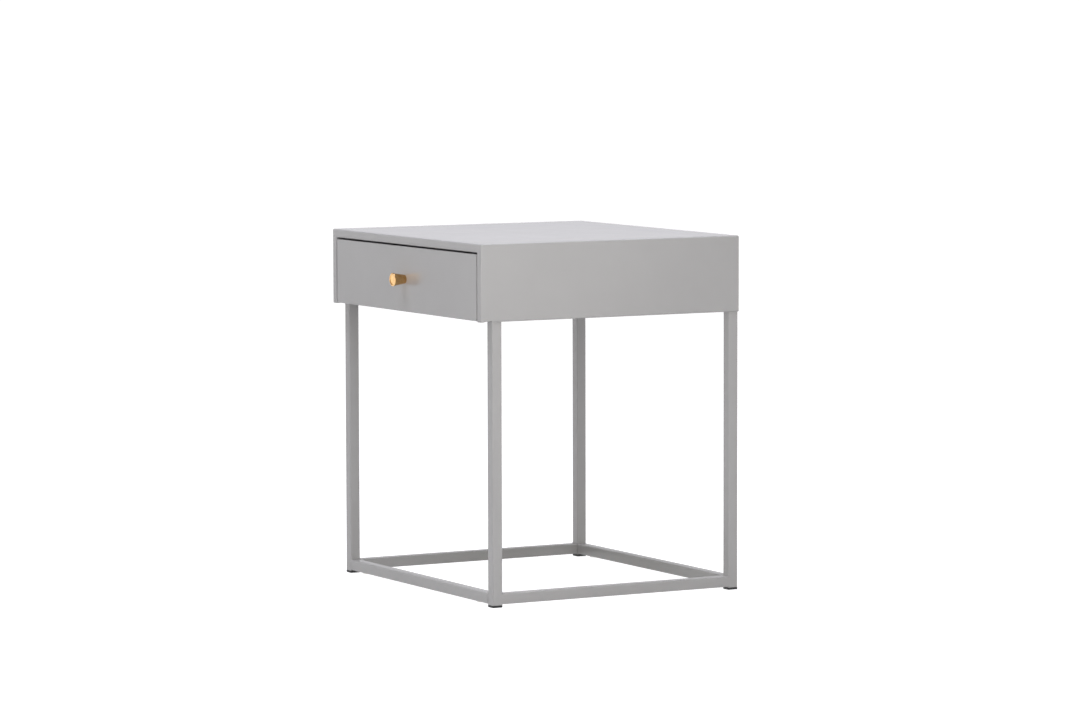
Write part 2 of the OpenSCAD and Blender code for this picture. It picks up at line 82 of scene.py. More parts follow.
def add_node(tree: bpy.types.NodeTree, kind: str, settings: Optional[dict] = None,
             links: Optional[dict] = None) -> bpy.types.Node:
    """Add one node, set it up and link its inputs.

    Args:
        tree: The node tree that takes the node.
        kind: The node's bl_idname.
        settings: Node properties by name, input defaults by "in:SOCKET", and as "stops" the place
            and linear colour of both ends of a colour ramp.
        links: Output sockets by the name or index of the input that each one feeds.

    Returns:
        The new node.
    """
    node = tree.nodes.new(kind)
    for name, value in (settings or {}).items():
        if name.startswith("in:"):
            node.inputs[name[3:]].default_value = value
        elif name == "stops":
            for element, (place, colour) in zip(node.color_ramp.elements, value):
                element.position = place
                element.color = colour
        else:
            setattr(node, name, value)
    for key, socket in (links or {}).items():
        tree.links.new(socket, node.inputs[key])
    return node


def per_metre(size_mm: float) -> float:
    """Texture scale at which one feature is about size_mm across in Object coordinates."""
    return 1.0 / (size_mm * MM)


# ------------------------------------------------------------------ finishes


@dataclass(frozen=True)
class Finish:
    """What every finish has: a name, and a shader that its own class builds."""

    name: str

    def shade(self, tree: bpy.types.NodeTree, shader: bpy.types.Node) -> None:
        """Set the shader up. Each finish has its own."""
        raise NotImplementedError

    def material(self) -> bpy.types.Material:
        """Build the material once and give it back.

        Returns:
            The material of this finish.
        """
        made = bpy.data.materials.get(self.name)
        if made is not None:
            return made
        made = bpy.data.materials.new(self.name)
        made.use_nodes = True
        tree = made.node_tree
        tree.nodes.clear()
        shader = add_node(tree, "ShaderNodeBsdfPrincipled")
        add_node(tree, "ShaderNodeOutputMaterial", links={"Surface": shader.outputs["BSDF"]})
        self.shade(tree, shader)
        return made


def noise(tree: bpy.types.NodeTree, size_mm: float, detail: float = 2.0,
          stretch: Sequence[float] = (1, 1, 1), roughness: float = 0.5) -> bpy.types.NodeSocket:
    """Noise on Object coordinates with features of a real size.

    Args:
        tree: The node tree that takes the nodes.
        size_mm: Width of one feature.
        detail: Octaves of finer noise.
        stretch: How many times finer the noise is along X, Y and Z.
        roughness: Strength of the finer octaves.

    Returns:
        The socket with the noise, from 0 to 1.
    """
    place = add_node(tree, "ShaderNodeTexCoord")
    turned = add_node(tree, "ShaderNodeMapping", {"in:Scale": tuple(stretch)},
                      {"Vector": place.outputs["Object"]})
    made = add_node(tree, "ShaderNodeTexNoise",
                    {"in:Scale": per_metre(size_mm), "in:Detail": detail, "in:Roughness": roughness},
                    {"Vector": turned.outputs["Vector"]})
    return made.outputs["Fac"]


@dataclass(frozen=True)
class Surface:
    """What the patterns of a finish do to its shader: colour, gloss and relief."""

    # Pattern that mixes the colours, and the place on it and hex code of both
    tint: bpy.types.NodeSocket
    colours: Sequence[tuple[float, str]]
    # Pattern that makes the gloss uneven, and the roughness at its low and its high end
    gloss: Optional[bpy.types.NodeSocket] = None
    roughness: tuple[float, float] = (0.5, 0.5)
    # Pattern, real depth in millimetres and strength of each layer of relief, the coarsest first
    relief: Sequence[tuple[bpy.types.NodeSocket, float, float]] = ()

    def lay(self, tree: bpy.types.NodeTree, shader: bpy.types.Node) -> None:
        """Link the patterns to a shader.

        Args:
            tree: The material's nodes.
            shader: The shader that takes them.
        """
        mixed = add_node(tree, "ShaderNodeValToRGB",
                         {"stops": [(place, srgb(code)) for place, code in self.colours]},
                         {"Fac": self.tint})
        tree.links.new(mixed.outputs["Color"], shader.inputs["Base Color"])
        if self.gloss is not None:
            low, high = self.roughness
            uneven = add_node(tree, "ShaderNodeMapRange",
                              {"in:From Min": 0.3, "in:From Max": 0.7, "in:To Min": low, "in:To Max": high},
                              {"Value": self.gloss})
            tree.links.new(uneven.outputs["Result"], shader.inputs["Roughness"])
        under = {}
        for height, depth_mm, strength in self.relief:
            layer = add_node(tree, "ShaderNodeBump", {"in:Strength": strength, "in:Distance": depth_mm * MM},
                             {"Height": height, **under})
            under = {"Normal": layer.outputs["Normal"]}
        for normal in under.values():
            tree.links.new(normal, shader.inputs["Normal"])


@dataclass(frozen=True)
class PowderCoat(Finish):
    """Polyester powder coat, sprayed and baked on steel: even, satin, with a faint orange peel."""

    colour: str = "#A9A7A4"
    # The colour where the film is a little thinner, over tens of millimetres
    thin: str = "#A7A5A2"
    # Ripples of baked powder are 2 to 4 mm across and a few hundredths of a millimetre deep
    peel_mm: float = 3.2
    peel_depth_mm: float = 0.006
    # Powder grain is near 0.1 mm: drawn at 0.7 mm, the finest that shows from across a room
    grain_mm: float = 0.7
    grain_depth_mm: float = 0.002
    # The sprayed film is cloudy over a hand's width, and its gloss over a few fingers
    cloud_mm: float = 90.0
    gloss_mm: float = 38.0
    roughness: float = 0.25

    def shade(self, tree: bpy.types.NodeTree, shader: bpy.types.Node) -> None:
        """Set up cloudy colour, uneven gloss, orange peel and grain.

        Args:
            tree: The material's nodes.
            shader: Its shader.
        """
        Surface(
            tint=noise(tree, self.cloud_mm, detail=3.0),
            colours=((0.35, self.thin), (0.65, self.colour)),
            gloss=noise(tree, self.gloss_mm, detail=4.0, roughness=0.6),
            roughness=(self.roughness - 0.01, self.roughness + 0.02),
            relief=((noise(tree, self.peel_mm, detail=1.0), self.peel_depth_mm, 1.0),
                    (noise(tree, self.grain_mm, detail=1.0), self.grain_depth_mm, 1.0)),
        ).lay(tree, shader)
        shader.inputs["IOR"].default_value = 1.5


@dataclass(frozen=True)
class TurnedBrass(Finish):
    """Brass bar turned on a lathe and lacquered: warm, bright, with fine rings of tool marks."""

    colour: str = "#DFB478"
    tarnish: str = "#CC9C5C"
    # Tool marks are near 0.05 mm apart: drawn at 0.35 mm so that they show
    ring_mm: float = 0.35
    ring_depth_mm: float = 0.005
    tarnish_mm: float = 6.0
    roughness: float = 0.17
    lacquer: float = 0.25
    lacquer_roughness: float = 0.08
    # Height of the lathe's axis, which runs along Y
    axis_z: float = 0.0

    def shade(self, tree: bpy.types.NodeTree, shader: bpy.types.Node) -> None:
        """Set up rings about the axis, patches of tarnish and a lacquer coat.

        Args:
            tree: The material's nodes.
            shader: Its shader.
        """
        place = add_node(tree, "ShaderNodeTexCoord")
        centred = add_node(tree, "ShaderNodeMapping", {"in:Location": (0.0, 0.0, -self.axis_z)},
                           {"Vector": place.outputs["Object"]})
        parts = add_node(tree, "ShaderNodeSeparateXYZ", links={0: centred.outputs["Vector"]})
        flat = add_node(tree, "ShaderNodeCombineXYZ",
                        links={"X": parts.outputs["X"], "Y": parts.outputs["Z"]})
        radius = add_node(tree, "ShaderNodeVectorMath", {"operation": "LENGTH"},
                          {0: flat.outputs["Vector"]})
        lathe = add_node(tree, "ShaderNodeCombineXYZ",
                         links={"X": radius.outputs["Value"], "Y": parts.outputs["Y"]})
        rings = add_node(tree, "ShaderNodeTexNoise",
                         {"in:Scale": per_metre(self.ring_mm), "in:Detail": 2.0},
                         {"Vector": lathe.outputs["Vector"]})
        Surface(
            tint=noise(tree, self.tarnish_mm, detail=3.0),
            colours=((0.3, self.tarnish), (0.6, self.colour)),
            gloss=rings.outputs["Fac"],
            roughness=(self.roughness - 0.04, self.roughness + 0.08),
            relief=((rings.outputs["Fac"], self.ring_depth_mm, 1.0),),
        ).lay(tree, shader)
        shader.inputs["Metallic"].default_value = 1.0
        shader.inputs["Coat Weight"].default_value = self.lacquer
        shader.inputs["Coat Roughness"].default_value = self.lacquer_roughness


@dataclass(frozen=True)
class PlatedSteel(Finish):
    """Steel strip with a thin bright plate: grey, half-bright, with faint drawing lines."""

    colour: str = "#B9BBBE"
    dull: str = "#A3A6AA"
    roughness: float = 0.32
    # Drawing lines run along Y, the way that the strip went through the rolls
    line_mm: float = 0.6
    line_depth_mm: float = 0.003
    blotch_mm: float = 14.0

    def shade(self, tree: bpy.types.NodeTree, shader: bpy.types.Node) -> None:
        """Set up the plate's blotches, its drawing lines and its uneven gloss.

        Args:
            tree: The material's nodes.
            shader: Its shader.
        """
        lines = noise(tree, self.line_mm, detail=2.0, stretch=(1.0, 0.02, 1.0))
        Surface(
            tint=noise(tree, self.blotch_mm, detail=4.0, roughness=0.6),
            colours=((0.3, self.dull), (0.7, self.colour)),
            gloss=lines,
            roughness=(self.roughness - 0.07, self.roughness + 0.1),
            relief=((lines, self.line_depth_mm, 1.0),),
        ).lay(tree, shader)
        shader.inputs["Metallic"].default_value = 1.0


@dataclass(frozen=True)
class BearingSteel(Finish):
    """Ground and polished chromium steel: a dark mirror with a film of grease."""

    colour: str = "#C9CACC"
    grease: str = "#9C9788"
    film_mm: float = 1.2
    bare_roughness: float = 0.06
    greasy_roughness: float = 0.22

    def shade(self, tree: bpy.types.NodeTree, shader: bpy.types.Node) -> None:
        """Set up a mirror with a patchy film on it.

        Args:
            tree: The material's nodes.
            shader: Its shader.
        """
        film = noise(tree, self.film_mm, detail=2.0)
        Surface(
            tint=film,
            colours=((0.4, self.colour), (0.7, self.grease)),
            gloss=film,
            roughness=(self.bare_roughness, self.greasy_roughness),
        ).lay(tree, shader)
        shader.inputs["Metallic"].default_value = 1.0


@dataclass(frozen=True)
class MouldedPlastic(Finish):
    """Injection-moulded polyethylene: black, dull, with the mould's spark-eroded grain."""

    colour: str = "#121214"
    worn: str = "#232325"
    scuff_mm: float = 5.0
    # Spark erosion leaves pits near 0.1 mm: drawn at 0.5 mm so that they show
    grain_mm: float = 0.5
    grain_depth_mm: float = 0.02
    grain_strength: float = 0.6
    roughness: float = 0.5

    def shade(self, tree: bpy.types.NodeTree, shader: bpy.types.Node) -> None:
        """Set up the grain, and scuffs that are greyer and duller.

        Args:
            tree: The material's nodes.
            shader: Its shader.
        """
        scuff = noise(tree, self.scuff_mm, detail=5.0, roughness=0.7)
        Surface(
            tint=scuff,
            colours=((0.5, self.colour), (0.75, self.worn)),
            gloss=scuff,
            roughness=(self.roughness - 0.05, self.roughness + 0.15),
            relief=((noise(tree, self.grain_mm), self.grain_depth_mm, self.grain_strength),),
        ).lay(tree, shader)
        shader.inputs["IOR"].default_value = 1.5


@dataclass(frozen=True)
class StudioPaper(Finish):
    """Matt background paper, rolled out as the floor; the glow is the light that comes through it."""

    colour: str = "#C4C4C4"
    tooth_colour: str = "#C8C8C8"
    tooth_mm: float = 400.0
    glow: float = 0.0

    def shade(self, tree: bpy.types.NodeTree, shader: bpy.types.Node) -> None:
        """Set up a plain matt sheet with a breath of tooth.

        Args:
            tree: The material's nodes.
            shader: Its shader.
        """
        tooth = noise(tree, self.tooth_mm, detail=2.0)
        Surface(tooth, ((0.0, self.colour), (1.0, self.tooth_colour))).lay(tree, shader)
        shader.inputs["Roughness"].default_value = 0.95
        shader.inputs["Specular IOR Level"].default_value = 0.1
        shader.inputs["Emission Color"].default_value = (1.0, 1.0, 1.0, 1.0)
        shader.inputs["Emission Strength"].default_value = self.glow


KNOB_AXIS_Z = sum(corner.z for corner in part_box("knob")) / 2
POWDER = PowderCoat("powder_coat_light_grey")
BRASS = TurnedBrass("turned_brass", axis_z=KNOB_AXIS_Z)
ZINC = PlatedSteel("zinc_plated_steel")
NICKEL = PlatedSteel("nickel_plated_steel", colour="#E2E0DC", dull="#CFCDC8", roughness=0.28)
GALVANISED = PlatedSteel("galvanised_slide_steel", colour="#AEB2B6", dull="#A0A4A9", roughness=0.36)
BALL_STEEL = BearingSteel("bearing_steel")
FOOT_PLASTIC = MouldedPlastic("moulded_black_polyethylene")
PAPER = StudioPaper("studio_paper")
BACKDROP = StudioPaper("backdrop_paper", "#000000", "#010101", glow=1.05)
LIT_PAPER = StudioPaper("studio_paper_lit", "#909090", "#939393", glow=1.0)


class Slot(Enum):
    """The record's material slots that the new pieces take."""

    POWDER = "powder_coat"
    BRASS = "brass"
    FOOT = "foot_plastic"
    ZINC = "zinc_steel"
    NICKEL = "nickel_steel"


class Drive(Enum):
    """What a driver fits in a fastener's head: the recess's corners, and its share of the head."""

    HEX_SOCKET = (6, 0.22)
    CROSS = (4, 0.19)


# ------------------------------------------------------------------ mesh work


def block(lo: Vector, hi: Vector) -> BMesh:
    """Make a closed box.

    Args:
        lo: Lowest corner.
        hi: Highest corner.

    Returns:
        The box as a new bmesh.
    """
    bm = bmesh.new()
    bmesh.ops.create_cube(bm, size=1.0)
    bmesh.ops.scale(bm, vec=hi - lo, verts=bm.verts)
    bmesh.ops.translate(bm, vec=(lo + hi) / 2, verts=bm.verts)
    return bm


def cut(bm: BMesh, point: Sequence[float], normal: Sequence[float],
        facing: Optional[Sequence[float]] = None) -> None:
    """Cut faces along a plane, and keep both sides.

    Args:
        bm: The mesh.
        point: A point of the plane.
        normal: The plane's normal.
        facing: Normal of the faces to cut. All are cut without it.
    """
    faces = [f for f in bm.faces if facing is None or f.normal.dot(Vector(facing)) > 0.99]
    edges = {e for f in faces for e in f.edges}
    verts = {v for f in faces for v in f.verts}
    bmesh.ops.bisect_plane(bm, geom=list(verts) + list(edges) + faces, dist=1e-7,
                           plane_co=Vector(point), plane_no=Vector(normal))


def drop_faces(bm: BMesh, test: Callable[[bmesh.types.BMFace], bool]) -> None:
    """Delete the faces that a test picks, and what only they used."""
    bmesh.ops.delete(bm, geom=[f for f in bm.faces if test(f)], context="FACES")


def round_edges(bm: BMesh, edges: Iterable[bmesh.types.BMEdge], radius: float, segments: int) -> None:
    """Round edges.

    Args:
        bm: The mesh.
        edges: The edges to round.
        radius: Radius of the round, which is also its offset on a square edge.
        segments: Number of strips across the round.
    """
    bmesh.ops.bevel(bm, geom=list(edges), offset=radius, offset_type="OFFSET", segments=segments,
                    profile=0.5, affect="EDGES", material=-1, clamp_overlap=True)


def folds(bm: BMesh, least_deg: float = 60.0) -> list[bmesh.types.BMEdge]:
    """Edges where two faces meet at an angle, as sheet does at a fold."""
    return [e for e in bm.edges if len(e.link_faces) == 2 and e.calc_face_angle() > math.radians(least_deg)]


def turn_out(bm: BMesh, direction: Sequence[float]) -> None:
    """Flip an open sheet if its widest face looks away from a direction.

    Args:
        bm: The sheet, whose faces agree with each other.
        direction: Where the outside of the widest face looks.
    """
    bm.normal_update()
    widest = max(bm.faces, key=lambda f: f.calc_area())
    if widest.normal.dot(Vector(direction)) < 0:
        bmesh.ops.reverse_faces(bm, faces=bm.faces[:])


def bent_sheet(outline: Sequence[Vector], run: Vector, outside: Sequence[float], radius: float,
               closed: bool = False, segments: int = 4) -> BMesh:
    """Make the outer skin of a sheet that is bent along an outline.

    Args:
        outline: Corners of the outline, on the outside of the sheet.
        run: Length and direction of the bends.
        outside: Where the outside of the widest face looks.
        radius: Outer radius of the bends.
        closed: Whether the outline closes on itself, as a tube's does.
        segments: Number of strips across a bend.

    Returns:
        The skin, which has no thickness yet.
    """
    bm = bmesh.new()
    corners = [bm.verts.new(p) for p in outline]
    pairs = list(zip(corners, corners[1:] + corners[:1])) if closed else list(zip(corners, corners[1:]))
    edges = [bm.edges.new(pair) for pair in pairs]
    made = bmesh.ops.extrude_edge_only(bm, edges=edges)
    bmesh.ops.translate(bm, vec=run, verts=[g for g in made["geom"] if isinstance(g, bmesh.types.BMVert)])
    bmesh.ops.recalc_face_normals(bm, faces=bm.faces[:])
    turn_out(bm, outside)
    round_edges(bm, folds(bm, 30.0), radius, segments)
    return bm


def spun(profile: Sequence[Point], steps: int) -> BMesh:
    """Spin a profile round Z, and merge its ends and its poles.

    Args:
        profile: Radius and height of each point.
        steps: Number of strips round the axis.

    Returns:
        The spun shape as a new bmesh.
    """
    bm = bmesh.new()
    verts = [bm.verts.new((radius, 0.0, height)) for radius, height in profile]
    edges = [bm.edges.new(pair) for pair in zip(verts, verts[1:])]
    bmesh.ops.spin(bm, geom=verts + edges, cent=(0, 0, 0), axis=(0, 0, 1), angle=math.tau, steps=steps,
                   use_merge=True, use_duplicate=False)
    bmesh.ops.remove_doubles(bm, verts=bm.verts[:], dist=1e-7)
    return bm


def stood(bm: BMesh, at: Vector, axis: Sequence[float]) -> BMesh:
    """Turn a closed spun shape's faces out, and stand it in its place.

    Args:
        bm: The shape, spun round Z.
        at: Where its origin goes.
        axis: Where its Z looks.

    Returns:
        The same bmesh.
    """
    bmesh.ops.recalc_face_normals(bm, faces=bm.faces[:])
    turn = Vector((0, 0, 1)).rotation_difference(Vector(axis)).to_matrix().to_4x4()
    bmesh.ops.transform(bm, matrix=Matrix.Translation(at) @ turn, verts=bm.verts[:])
    return bm


def arc(centre: Point, radius: float, start_deg: float, end_deg: float, steps: int) -> list[Point]:
    """Points of an arc in a lathe's profile.

    Args:
        centre: Radius and height of the arc's centre.
        radius: Radius of the arc.
        start_deg: Angle of the first point, from straight out.
        end_deg: Angle of the last point.
        steps: Number of strips.

    Returns:
        The points, the first and last included.
    """
    turns = [math.radians(start_deg + (end_deg - start_deg) * i / steps) for i in range(steps + 1)]
    return [(centre[0] + radius * math.cos(a), centre[1] + radius * math.sin(a)) for a in turns]


def join(parts: Sequence[BMesh]) -> BMesh:
    """Put several bmeshes into one and free the others.

    Args:
        parts: The bmeshes, at least one.

    Returns:
        One bmesh that holds them all.
    """
    whole = bmesh.new()
    for part in parts:
        mesh = bpy.data.meshes.new("part")
        part.to_mesh(mesh)
        whole.from_mesh(mesh)
        bpy.data.meshes.remove(mesh)
        part.free()
    return whole


@dataclass
class Piece:
    """One new piece: its mesh, what it rides on, what it stands for and how it is finished."""

    name: str
    bm: BMesh
    body: str
    finish: Finish
    slot: Slot
    stands_for: Sequence[str] = ()
    # Thickness of a sheet, which grows inwards from its skin; a solid shape has none
    sheet: float = 0.0
    # Radius of the rounding that the coat leaves on cut edges
    rim: float = 0.0
    rim_segments: int = 2

    def make(self) -> bpy.types.Object:
        """Turn the bmesh into a finished object in the frame.

        Returns:
            The object.
        """
        mesh = bpy.data.meshes.new(self.name)
        self.bm.to_mesh(mesh)
        self.bm.free()
        mesh.shade_smooth()
        piece = bpy.data.objects.new(self.name, mesh)
        bpy.context.scene.collection.objects.link(piece)
        if self.sheet:
            wall = piece.modifiers.new("Wall", "SOLIDIFY")
            wall.thickness = self.sheet
            wall.offset = -1.0
            wall.use_even_offset = True
        if self.rim:
            rims = piece.modifiers.new("Rims", "BEVEL")
            rims.width = self.rim
            rims.segments = self.rim_segments
            rims.limit_method = "ANGLE"
            rims.angle_limit = math.radians(50)
            rims.use_clamp_overlap = True
        flats = piece.modifiers.new("Flats", "WEIGHTED_NORMAL")
        flats.keep_sharp = True
        flats.weight = 80
        mesh.materials.append(self.finish.material())
        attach(piece, self.body)
        if self.stands_for:
            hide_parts(*self.stands_for)
        LOG.info("%s rides on %s and stands for %s", self.name, self.body, ", ".join(self.stands_for))
        return piece


def dress(node: str, finish: Finish) -> None:
    """Give a CAD node its finish, and leave its shape alone.

    Args:
        node: The node's name.
        finish: What it is finished in.
    """
    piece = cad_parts[node]
    piece.data.materials.clear()
    piece.data.materials.append(finish.material())
    LOG.info("%s keeps its shape, in %s", node, finish.name)


# ------------------------------------------------------------------ fasteners


@dataclass
class Fastener:
    """A turned fastener: a pan or domed head on a plain shank."""

    head_d: float
    head_h: float
    shank_d: float
    length: float
    drive: Drive = Drive.CROSS
    steps: int = 32
    # Flat middle of the crown and start of its curve, as shares of the head's radius and height
    flat: float = 0.5
    brow: float = 0.35
    # Depth of the recess, as a share of the head's height
    recess: float = 0.55
    # Radius and height of the tip's chamfer, as shares of the shank's radius
    tip: float = 0.8
    tip_rise: float = 0.3

    def profile(self) -> list[Point]:
        """Half outline, from the shank's tip to the crown's rim.

        Returns:
            Radius and height of each point.
        """
        head, shank = self.head_d / 2, self.shank_d / 2
        flat, brow = head * self.flat, self.head_h * self.brow
        crown = [(flat + (head - flat) * math.cos(a), brow + (self.head_h - brow) * math.sin(a))
                 for a in (math.radians(15 * i) for i in range(7))]
        return [(0.0, -self.length), (shank * self.tip, -self.length),
                (shank, -self.length + shank * self.tip_rise), (shank, 0.0),
                (head * 0.97, 0.0), (head, self.head_h * 0.12), *crown]

    def build(self, seat: Vector, out: Sequence[float]) -> BMesh:
        """Make the fastener.

        Args:
            seat: The middle of the face that the head stands on.
            out: The way that the head looks.

        Returns:
            The fastener as a closed shape.
        """
        bm = spun(self.profile(), self.steps)
        self.close_top(bm)
        return stood(bm, seat, out)

    def close_top(self, bm: BMesh) -> None:
        """Close the crown with a recess for the driver.

        Args:
            bm: The spun fastener, still open in the middle of its crown.
        """
        top = max(v.co.z for v in bm.verts)
        rim = [e for e in bm.edges if e.is_boundary and all(v.co.z > top - 1e-7 for v in e.verts)]
        sides, share = self.drive.value
        ring = bmesh.ops.create_circle(bm, cap_ends=False, radius=self.head_d * share, segments=sides)
        bmesh.ops.translate(bm, vec=(0, 0, top), verts=ring["verts"])
        mouth = list({e for v in ring["verts"] for e in v.link_edges})
        bmesh.ops.bridge_loops(bm, edges=rim + mouth)
        down = bmesh.ops.extrude_edge_only(bm, edges=mouth)
        floor = [g for g in down["geom"] if isinstance(g, bmesh.types.BMVert)]
        bmesh.ops.translate(bm, vec=(0, 0, -self.head_h * self.recess), verts=floor)
        base = [e for e in down["geom"] if isinstance(e, bmesh.types.BMEdge) and e.is_boundary]
        bmesh.ops.holes_fill(bm, edges=base, sides=0)


@dataclass
class PanScrew(Fastener):
    """The pan-headed screw of the drawer and the slides, with a cross recess."""

    head_d: float = 6.12 * MM
    head_h: float = 1.4 * MM
    shank_d: float = 3.5 * MM
    length: float = 5.0 * MM


@dataclass
class Rivet:
    """A set blind rivet: a low dome with the snapped mandrel's dimple, and a swelled tail."""

    head_d: float = 6.4 * MM
    head_h: float = 0.8 * MM
    shank_d: float = 3.2 * MM
    tail: float = 1.2 * MM
    # How far the tail swells out past the shank
    swell: float = 0.6 * MM

    def build(self, seat: Vector, out: Sequence[float], grip: float) -> BMesh:
        """Make the rivet.

        Args:
            seat: The middle of the face that the head stands on.
            out: The way that the head looks.
            grip: Thickness of the sheets that it holds.

        Returns:
            The rivet as a closed shape.
        """
        head, shank = self.head_d / 2, self.shank_d / 2
        swell = shank + self.swell
        dome = [(head * math.cos(a), self.head_h * math.sin(a))
                for a in (math.radians(12 * i) for i in range(7))]
        dimple = [(head * 0.26, self.head_h * 0.96), (head * 0.2, self.head_h * 0.55),
                  (0.0, self.head_h * 0.5)]
        profile = [(0.0, -grip - self.tail), (swell * 0.7, -grip - self.tail),
                   (swell, -grip - self.tail * 0.5), (shank, -grip), (shank, 0.0), *dome, *dimple]
        return stood(spun(profile, 28), seat, out)


def mirrored(places: Iterable[Vector]) -> list[Vector]:
    """The places, and the same ones at the other side of the table."""
    return [p for place in places for p in (place, Vector((-place.x, place.y, place.z)))]


# ------------------------------------------------------------------ case


@dataclass
class Case:
    """The folded steel case: shell, back, bottom and the rivets that hold the back."""

    sheet: float = 1.2 * MM
    bend: float = 2.0 * MM
    side_band: float = 12.0 * MM
    top_band: float = 12.2 * MM
    band_fold: float = 10.0 * MM
    back_band: float = 12.0 * MM
    bottom_fold: float = 18.0 * MM
    # The back's pressed step: how far in it starts, how wide it slopes and how deep it goes
    press_inset: float = 14.0 * MM
    press_slope: float = 1.2 * MM
    press_depth: float = 0.4 * MM
    # How far the bottom's lips stop short of the sheet's ends
    lip_gap: float = 16.0 * MM
    # Places of the rivets, as shares of the back's half width and of the case's height
    rivets_across: Sequence[float] = (-0.8, 0.0, 0.8)
    rivets_up: Sequence[float] = (0.25, 0.75)
    rim: float = 0.25 * MM
    lo: Vector = field(default_factory=lambda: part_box("case_shell")[0])
    hi: Vector = field(default_factory=lambda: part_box("case_shell")[1])

    def build(self) -> None:
        """Make every piece of the case."""
        self.shell()
        self.back()
        self.bottom()
        self.rivets()

    def shell(self) -> None:
        """Top, sides, the bands around the drawer and the folds behind, from one bent sheet."""
        lo, hi = self.lo, self.hi
        panel_lo, panel_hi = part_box("bottom_panel")
        open_x, open_z = hi.x - self.side_band, hi.z - self.top_band
        back_x, back_z = hi.x - self.back_band, hi.z - self.back_band
        fold_x = hi.x - self.sheet - self.bottom_fold
        bm = block(lo, hi)
        bm.normal_update()
        for facing, x, z in (((0, -1, 0), open_x, open_z), ((0, 1, 0), back_x, back_z)):
            for side in (-x, x):
                cut(bm, (side, 0, 0), (1, 0, 0), facing)
            cut(bm, (0, 0, z), (0, 0, 1), facing)
        for side in (-fold_x, fold_x):
            cut(bm, (side, 0, 0), (1, 0, 0), (0, 0, -1))
        for y in (panel_lo.y, panel_hi.y):
            cut(bm, (0, y, 0), (0, 1, 0), (0, 0, -1))

        def is_open(face: bmesh.types.BMFace) -> bool:
            """Whether a face lies in an opening of the shell.

            Args:
                face: A face of the block.

            Returns:
                True in the drawer's opening, the back's or the underside's.
            """
            at, way = face.calc_center_median(), face.normal
            if way.y < -0.9:
                return abs(at.x) < open_x and at.z < open_z
            if way.y > 0.9:
                return abs(at.x) < back_x and at.z < back_z
            return way.z < -0.9 and (abs(at.x) < fold_x or not panel_lo.y < at.y < panel_hi.y)

        drop_faces(bm, is_open)
        mouth = [e for e in bm.edges if e.is_boundary
                 and all(abs(v.co.y - lo.y) < NEAR and v.co.z < open_z + NEAR for v in e.verts)
                 and all(abs(v.co.x) < open_x + NEAR for v in e.verts)
                 and not all(v.co.z < lo.z + NEAR for v in e.verts)]
        made = bmesh.ops.extrude_edge_only(bm, edges=mouth)
        bmesh.ops.translate(bm, vec=(0, self.band_fold, 0),
                            verts=[g for g in made["geom"] if isinstance(g, bmesh.types.BMVert)])
        bmesh.ops.recalc_face_normals(bm, faces=bm.faces[:])
        turn_out(bm, (0, 0, 1))
        round_edges(bm, folds(bm), self.bend, 4)
        Piece("case_shell_folded", bm, "case", POWDER, Slot.POWDER, ["case_shell"], self.sheet,
              self.rim).make()

    def back(self) -> None:
        """Flat back sheet with softly pressed edges."""
        lo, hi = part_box("back_panel")
        bm = block(lo, hi)
        bm.normal_update()
        outer = [f for f in bm.faces if f.normal.y > 0.9]
        bmesh.ops.inset_region(bm, faces=outer, thickness=self.press_inset, depth=0.0)
        bmesh.ops.inset_region(bm, faces=outer, thickness=self.press_slope, depth=-self.press_depth)
        Piece("back_panel_pressed", bm, "case", POWDER, Slot.POWDER, ["back_panel"], rim=0.2 * MM).make()

    def bottom(self) -> None:
        """Bottom sheet with an upright lip at the front and the back."""
        lo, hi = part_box("bottom_panel")
        outline = [Vector((lo.x, lo.y, hi.z)), Vector((lo.x, lo.y, lo.z)), Vector((lo.x, hi.y, lo.z)),
                   Vector((lo.x, hi.y, hi.z))]
        bm = bent_sheet(outline, Vector((hi.x - lo.x, 0, 0)), (0, 0, -1), self.bend)
        for x in (lo.x + self.lip_gap, hi.x - self.lip_gap):
            cut(bm, (x, 0, 0), (1, 0, 0))
        flat_top = lo.z + self.bend + NEAR
        drop_faces(bm, lambda f: abs(f.calc_center_median().x) > hi.x - self.lip_gap
                   and f.calc_center_median().z > flat_top)
        Piece("bottom_panel_folded", bm, "case", POWDER, Slot.POWDER, ["bottom_panel"], self.sheet,
              self.rim).make()

    def rivets(self) -> None:
        """Blind rivets around the back panel."""
        rivet = Rivet()
        lo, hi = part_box("back_rivets")
        half = rivet.head_d / 2
        side_x, top_z = hi.x - half, hi.z - half
        low_z = lo.z + half
        panel_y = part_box("back_panel")[1].y
        across = [share * (self.hi.x - 3 * self.back_band) for share in self.rivets_across]
        height = self.hi.z - self.lo.z
        outer_y = self.hi.y
        banded = mirrored([Vector((side_x, outer_y, self.lo.z + height * part)) for part in self.rivets_up])
        banded += [Vector((x, outer_y, top_z)) for x in across]
        low = [Vector((x, panel_y, low_z)) for x in across]
        parts = [rivet.build(place, (0, 1, 0), 2 * self.sheet) for place in banded + low]
        Piece("back_rivets_set", join(parts), "case", ZINC, Slot.ZINC, ["back_rivets"]).make()


# ------------------------------------------------------------------ frame


